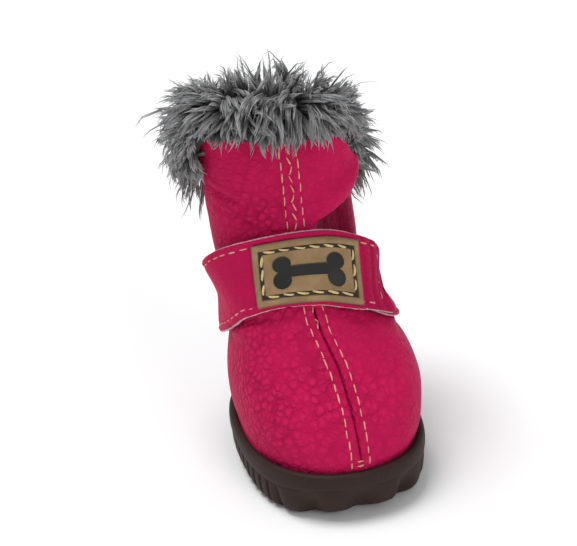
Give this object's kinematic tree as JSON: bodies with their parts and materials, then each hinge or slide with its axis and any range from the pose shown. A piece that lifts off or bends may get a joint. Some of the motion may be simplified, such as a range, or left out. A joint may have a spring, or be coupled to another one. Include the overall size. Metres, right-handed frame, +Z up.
{
  "type": "dog winter boot",
  "caption": "Plush-lined leather dog boot on a ribbed rubber cup sole, with a deep fur collar, a plush back gusset and a hook-and-loop ankle strap that carries a stitched patch.",
  "frame": {"origin": "middle of the bounding box's bottom face, on the floor under the sole", "axes": "+Z up, toe towards -Y, +X is the side that the strap is lapped on"},
  "size_m": [0.0558, 0.0682, 0.1037],
  "materials": {
    "rubber": "satin moulded",
    "leather": "pebbled, semi-gloss",
    "plush": "long grey pile",
    "patch": "smooth, matt"
  },
  "bodies": {
    "root": {"outsole": "rubber", "insole": "plush", "upper": "leather", "back_gusset": "plush", "collar_fur": "plush", "ankle_strap": "leather", "strap_patch": "patch"}
  },
  "joints": []
}
